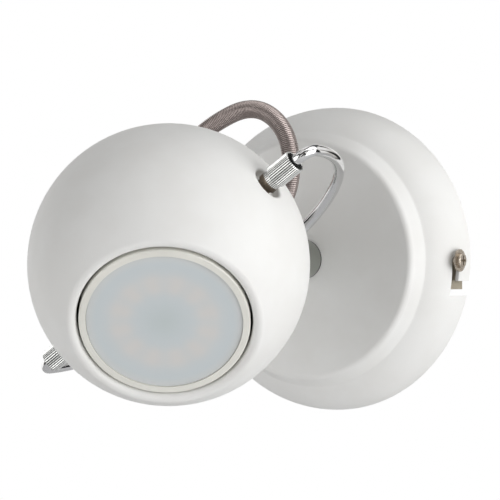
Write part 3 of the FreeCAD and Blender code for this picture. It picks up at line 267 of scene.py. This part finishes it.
def knurledChrome(name, gripStart):
    # painted shade: dark in the flutes, and a painted brown shade on the collar, from gripStart inwards
    # along the pivot;
    # the right nut's painted flute lines run 1.5 mm on over its smooth collar, as far as the photograph
    # shows them
    metal = Finish(name, metallic=1.0)
    out = metal.along(shape["lampOut"], shape["ballMiddle"])
    up = metal.along(shape["lampUp"], shape["ballMiddle"])
    beat = (up.work("ARCTAN2", up, out) * nut["flutes"]).wave("COSINE")
    reach = metal.along(shape["pivot"], shape["ballMiddle"]).wave("ABSOLUTE")
    paintedFluteShade = metal.mix(metal.limits(beat, -0.1, 0.9), nut["colour"], nut["grooveShadeColour"])
    onGrip = metal.limits(reach, gripStart - 0.0002, gripStart + 0.0001)
    grain = metal.noise(nut["grain"], 3.0, 0.6)
    metal.set(
        base=metal.mix(onGrip, nut["collarShadeColour"], paintedFluteShade),
        roughness=metal.limits(grain, 0.3, 0.7, nut["roughness"] - 0.05, nut["roughness"] + 0.07),
    )
    return metal.bump(grain, plating["scratchDepth"], plating["scratchStrength"]).material


moulding = {
    "grain": 1500.0,
    "grainDepth": 0.00001,
    "grainStrength": 0.5,
    "tone": 90.0,
    "darkerShare": 0.94,
}


def plastic(name, colour, roughness, depth=moulding["grainDepth"]):
    moulded = Finish(name, specular=0.5)
    grain = moulded.noise(moulding["grain"], 3.0)
    tone = moulded.noise(moulding["tone"], 2.0)
    darker = shaded(colour, moulding["darkerShare"])
    moulded.set(
        base=moulded.mix(moulded.limits(tone, 0.3, 0.7), colour, darker),
        roughness=moulded.limits(grain, 0.3, 0.7, roughness - 0.05, roughness + 0.05),
    )
    return moulded.bump(grain, depth, moulding["grainStrength"]).material


stripes = {
    "green": (0.05, 0.32, 0.06),
    "yellow": (0.75, 0.62, 0.05),
    "slant": (0.62, 0.55, 0.56),
    "beat": 2600.0,
}


def stripedSheath():
    # green and yellow in slanting bands
    wire = Finish("stripedSheath", specular=0.5)
    beat = (wire.along(stripes["slant"]) * stripes["beat"] + wire.noise(300.0) * 2.0).wave("SINE")
    grain = wire.noise(moulding["grain"], 3.0)
    wire.set(
        base=wire.mix(wire.limits(beat, -0.25, 0.25), stripes["green"], stripes["yellow"]),
        roughness=wire.limits(grain, 0.3, 0.7, 0.4, 0.5),
    )
    return wire.bump(grain, moulding["grainDepth"], moulding["grainStrength"]).material


lamp = {
    "rimColour": (0.83, 0.82, 0.76),
    "coverColour": (0.595, 0.645, 0.665),
    "coverEdge": (0.64, 0.66, 0.66),
    "middleColour": (0.545, 0.6, 0.605),
    "chipColour": (0.79, 0.69, 0.62),
    "chipCircle": 0.013,
    "chipSpread": 0.0034,
    "coverRadius": 0.0227,
    "middleRadius": 0.009,
    "chips": 12,
    "chipGlow": 0.34,
    "chipBeat": 0.07,
}


def frostedCover():
    cover = Finish("frostedCover", roughness=0.42, specular=0.45)
    across = cover.along(shape["pivot"], shape["ballMiddle"])
    up = cover.along(shape["lampUp"], shape["ballMiddle"])
    radius = (across * across + up * up) ** 0.5
    angle = up.work("ARCTAN2", up, across)
    # distance from the circle of chips, and the beat of the chips round it
    off = (radius - lamp["chipCircle"]) / lamp["chipSpread"]
    band = 1.0 / (1.0 + off * off * off * off)
    beat = (angle * lamp["chips"]).wave("COSINE")
    spots = band * (lamp["chipGlow"] + beat * lamp["chipBeat"])
    edge = cover.limits(radius, 0.86 * lamp["coverRadius"], lamp["coverRadius"])
    core = cover.limits(radius, 0.0, lamp["middleRadius"], 1.0, 0.0)
    plain = cover.mix(edge, lamp["coverColour"], lamp["coverEdge"])
    darker = cover.mix(core * 0.8, plain, lamp["middleColour"])
    cover.set(base=cover.mix(spots, darker, lamp["chipColour"]))
    return cover.material


hose = {
    "colour": (0.4, 0.345, 0.33),
    # the groove colour is painted shade between the hose's ribs
    "grooveShadeColour": (0.07, 0.055, 0.05),
    "roughness": 0.3,
    "radius": 0.00275,
    "ribDepth": 0.0003,
    "pitch": 0.00054,
    "ribSamples": 8,
    "ribRoundness": 0.55,
    "sides": 32,
    "cableRadius": 0.0016,
    "cableReach": 0.007,
    "cableSides": 20,
    "cableSteps": 60,
    "points": [
        (-0.012, -0.0218, 0.014),
        (-0.012, -0.0335, 0.014),
        (0.0025, -0.044, 0.0125),
        (0.013, -0.051, 0.024),
        (0.011, -0.0515, 0.04),
        (-0.003, -0.0475, 0.0475),
        (-0.018, -0.049, 0.0405),
        (-0.024121, -0.057629, 0.030197),
        (-0.018406, -0.068479, 0.022273),
    ],
}


def hoseMetal():
    metal = Finish("hoseMetal", metallic=1.0)
    height = metal.add("ShaderNodeAttribute", {"attribute_name": "ribHeight"}, output="Fac")
    tone = metal.noise(500.0, 3.0)
    bright = metal.mix(metal.limits(tone, 0.3, 0.7), hose["colour"], shaded(hose["colour"], 0.85))
    metal.set(
        # dark between the ribs, by rib height: painted shade in the grooves
        base=metal.mix(metal.limits(height, 0.0, 0.75), hose["grooveShadeColour"], bright),
        roughness=metal.limits(height, 0.0, 1.0, hose["roughness"] + 0.3, hose["roughness"]),
    )
    return metal.material


def smoothRoute(points):
    # the route is read back from a spline of order three
    curve = bpy.data.curves.new("hoseRoute", "CURVE")
    curve.dimensions = "3D"
    spline = curve.splines.new("NURBS")
    spline.points.add(len(points) - 1)
    for point, where in zip(spline.points, points):
        point.co = (*where, 1.0)
    spline.order_u = 3
    spline.use_endpoint_u = True
    spline.resolution_u = 40
    holder = bpy.data.objects.new("hoseRoute", curve)
    mesh = bpy.data.meshes.new_from_object(holder)
    line = [vertex.co.copy() for vertex in mesh.vertices]
    bpy.data.objects.remove(holder)
    bpy.data.curves.remove(curve)
    bpy.data.meshes.remove(mesh)
    return line


def measured(line):
    # running length at each point of a line
    lengths = [0.0]
    for first, second in zip(line, line[1:]):
        lengths.append(lengths[-1] + (second - first).length)
    return lengths


def pointAt(line, lengths, distance):
    distance = min(max(distance, 0.0), lengths[-1])
    low, high = 0, len(lengths) - 1
    while high - low > 1:
        middle = (low + high) // 2
        if lengths[middle] <= distance:
            low = middle
        else:
            high = middle
    span = lengths[high] - lengths[low]
    share = (distance - lengths[low]) / span if span > 0 else 0.0
    return line[low].lerp(line[high], share)


def tubeAlong(name, line, stations, sides):
    # stations are (distance along, radius, rib height), and the first sideways direction
    # is carried along without twisting
    lengths = measured(line)
    vertices, faces, heights = [], [], []
    side, near = None, 0.0002
    for distance, radius, height in stations:
        here = pointAt(line, lengths, distance)
        ahead = pointAt(line, lengths, distance + near) - pointAt(line, lengths, distance - near)
        ahead.normalize()
        if side is None:
            side = ahead.orthogonal().normalized()
        side = (side - ahead * side.dot(ahead)).normalized()
        across = ahead.cross(side)
        for step in range(sides):
            turn = 2 * math.pi * step / sides
            vertices.append(here + radius * (math.cos(turn) * side + math.sin(turn) * across))
            heights.append(height)
    count = len(stations)
    for ring in range(count - 1):
        for step in range(sides):
            after = (step + 1) % sides
            start = ring * sides
            faces.append((start + step, start + after, start + sides + after, start + sides + step))
    faces.append(tuple(reversed(range(sides))))
    faces.append(tuple(range((count - 1) * sides, count * sides)))
    mesh = bpy.data.meshes.new(name)
    mesh.from_pydata(vertices, [], faces)
    mesh.shade_smooth()
    attribute = mesh.attributes.new("ribHeight", "FLOAT", "POINT")
    attribute.data.foreach_set("value", heights)
    piece = bpy.data.objects.new(name, mesh)
    bpy.context.scene.collection.objects.link(piece)
    return piece


def ribbedStations(start, end):
    # rounded ribs with a narrow groove between them
    stations = []
    samples, root = hose["ribSamples"], hose["radius"] - hose["ribDepth"]
    count = round((end - start) / hose["pitch"])
    pitch = (end - start) / count
    for rib in range(count):
        for sample in range(samples):
            phase = sample / samples
            height = math.sin(math.pi * phase) ** hose["ribRoundness"]
            radius = hose["radius"] - hose["ribDepth"] * (1.0 - height)
            stations.append((start + (rib + phase) * pitch, radius, height))
    stations.append((end, root, 0.0))
    return stations


def makeHose(metal, rubber):
    line = smoothRoute(hose["points"])
    lengths = measured(line)
    whole = lengths[-1]
    half = 0.5 * whole
    middle = pointAt(line, lengths, half)
    lower = tubeAlong("hoseLower", line, ribbedStations(0.0, half), hose["sides"])
    upper = tubeAlong("hoseUpper", line, ribbedStations(half, whole), hose["sides"])
    # the cable reaches on into the canopy and the ball
    reach, steps = hose["cableReach"], hose["cableSteps"]
    inside = [line[0] + Vector((0.0, reach, 0.0))] + line + [line[-1] + shape["lampOut"] * reach]
    cableHalf = measured(inside)[-1] / 2
    first = [(cableHalf * step / steps, hose["cableRadius"], 1.0) for step in range(steps + 1)]
    second = [(cableHalf * (1 + step / steps), hose["cableRadius"], 1.0) for step in range(steps + 1)]
    cableLower = tubeAlong("cableLower", inside, first, hose["cableSides"])
    cableUpper = tubeAlong("cableUpper", inside, second, hose["cableSides"])
    for piece in (lower, upper):
        piece.data.materials.append(metal)
        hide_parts("flex_hose")
    for piece in (cableLower, cableUpper):
        piece.data.materials.append(rubber)
        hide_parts("hose_cable")
    for piece in (lower, cableLower):
        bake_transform(piece)
    for piece in (upper, cableUpper):
        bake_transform(piece)
    # the path of each half is listed from its own gland to where the two meet
    lowPath = [point for point, reached in zip(line, lengths) if reached < half] + [middle]
    highPath = [middle] + [point for point, reached in zip(line, lengths) if reached > half]
    highPath.reverse()
    print("hose made,", round(whole * 1000, 1), "mm")


def dress(material, *names):
    for name in names:
        mesh = nodes[name].data
        mesh.materials.clear()
        mesh.materials.append(material)


paint = powderCoat()
nickel = satinMetal("nickel", plating["nickelColour"], 0.28)
zinc = satinMetal("zinc", plating["zincColour"], 0.4)
brass = satinMetal("brass", plating["brassColour"], 0.3)
white = plastic("whiteMoulding", (0.8, 0.8, 0.77), 0.4)
dark = plastic("darkNylon", (0.03, 0.03, 0.03), 0.5)
sheath = plastic("cableSheath", (0.035, 0.035, 0.035), 0.55)
dress(paint, "canopy", "head_shell", "canopy_gland", "head_gland")
dress(chrome("rodChrome", plating["chromeColour"]), "yoke_rod")
# the swivel post gets the darker chrome: painted dark reflection
dress(chrome("postChromeDarkReflection", plating["postDarkReflectionColour"]), "swivel_post")
dress(knurledChrome("nutRight", nut["rightGrip"]), "knurled_nut_right")
dress(knurledChrome("nutLeft", nut["leftGrip"]), "knurled_nut_left")
dress(nickel, "canopy_screws", "canopy_washers", "terminal_screws", "block_screw", "earth_screw")
dress(nickel, "lampholder_screws", "rod_clips", "lamp_pins")
dress(zinc, "wall_plate", "canopy_gland_nut", "head_gland_nut", "stop_stud", "stop_washer", "spring_washer")
dress(zinc, "post_nut", "lampholder_strap")
dress(brass, "terminal_sleeves", "earth_tag", "head_earth_tag")
dress(satinMetal("bronzedBush", plating["bushColour"], 0.3), "pivot_bushes")
dress(white, "terminal_block", "lamp_base")
dress(dark, "glide_washer")
dress(plastic("holderCeramic", (0.78, 0.77, 0.73), 0.5, 0.00003), "lampholder")
dress(plastic("lampShell", lamp["rimColour"], 0.35), "lamp_body")
dress(satinMetal("boardMetal", (0.8, 0.8, 0.8), 0.4), "led_board")
dress(frostedCover(), "diffuser")
dress(plastic("chipFace", (0.85, 0.7, 0.2), 0.4), "led_chips")
dress(plastic("brownSheath", (0.16, 0.06, 0.03), 0.45), "canopy_live_lead", "head_live_lead")
dress(plastic("blueSheath", (0.04, 0.16, 0.45), 0.45), "canopy_neutral_lead", "head_neutral_lead")
dress(stripedSheath(), "canopy_earth_lead", "plate_earth_lead", "head_earth_lead")
print("finishes on")
makeHose(hoseMetal(), sheath)

light = {
    "sky": 0.085,
    "key": 18.3,
    "left": 9.0,
    "top": 7.8,
    "behind": 3.8,
    "size": 1.3,
    "distance": 1.3,
    "roomDark": (0.03, 0.03, 0.032),
    "roomMiddle": (0.34, 0.32, 0.29),
    "roomBright": (1.0, 0.99, 0.97),
    "roomScale": 2.3,
    "roomShift": (3.7, 5.2, 1.1),
    "aim": (0.0, -0.06, 0.0),
    "floorDrop": 0.3,
    "floorSize": 0.9,
    "floorSteps": 48,
    "floorGlow": 0.03,
}


def cameraWay(right, up, back):
    mixed = Vector(view["right"]) * right + Vector(view["up"]) * up + Vector(view["back"]) * back
    return mixed.normalized()


def softLight(name, way, power):
    panel = bpy.data.lights.new(name, "AREA")
    panel.size = light["size"]
    panel.energy = power
    holder = bpy.data.objects.new(name, panel)
    holder.location = Vector(light["aim"]) + way * light["distance"]
    holder.rotation_euler = way.to_track_quat("Z", "Y").to_euler()
    bpy.context.scene.collection.objects.link(holder)


def lightStudio():
    world = bpy.data.worlds.new("paleStudio")
    bpy.context.scene.world = world
    world.use_nodes = True
    room = Graph(world.node_tree)
    room.tree.nodes.clear()
    seen = room.add("ShaderNodeLightPath", output="Is Camera Ray")
    gloss = room.add("ShaderNodeLightPath", output="Is Glossy Ray")
    # what polished metal mirrors: pale panels with dark gaps between them
    way = room.vector("ADD", room.add("ShaderNodeTexCoord", output="Generated"), light["roomShift"])
    patches = room.noise(light["roomScale"], 1.0, 0.4, way)
    stops = [(0.45, light["roomDark"]), (0.5, light["roomMiddle"]), (0.57, light["roomBright"])]
    mirrored = room.add("ShaderNodeValToRGB", {"stops": stops}, [patches])
    plain = room.add("ShaderNodeBackground", None, {"Strength": light["sky"]})
    panels = room.add("ShaderNodeBackground", None, {"Color": mirrored, "Strength": 1.0})
    backdrop = room.add("ShaderNodeBackground", None, {"Color": (1.0, 1.0, 1.0), "Strength": 1.0})
    inside = room.add("ShaderNodeMixShader", None, [gloss, plain, panels])
    studio = room.add("ShaderNodeMixShader", None, [seen, inside, backdrop])
    room.add("ShaderNodeOutputWorld", None, [studio])
    softLight("keyLight", cameraWay(0.85, -0.05, 0.6), light["key"])
    softLight("leftLight", cameraWay(-0.85, 0.0, 0.5), light["left"])
    softLight("topLight", cameraWay(0.5, 1.0, 0.2), light["top"])
    softLight("backLight", cameraWay(-0.35, 0.25, -1.0), light["behind"])


def layFloor():
    size, low, steps = light["floorSize"], -light["floorDrop"], light["floorSteps"]
    turns = [2 * math.pi * step / steps for step in range(steps)]
    edge = [(size * math.cos(turn), size * math.sin(turn), low) for turn in turns]
    mesh = bpy.data.meshes.new("studioFloor")
    mesh.from_pydata(edge, [], [tuple(range(steps))])
    floor = bpy.data.objects.new("studioFloor", mesh)
    bpy.context.scene.collection.objects.link(floor)
    paper = Finish("palePaper", base=(0.9, 0.9, 0.9), roughness=0.9)
    paper.set(emissionColor=(1.0, 1.0, 1.0), emissionStrength=light["floorGlow"])
    mesh.materials.append(paper.material)


lightStudio()
layFloor()
print("lights and floor set")
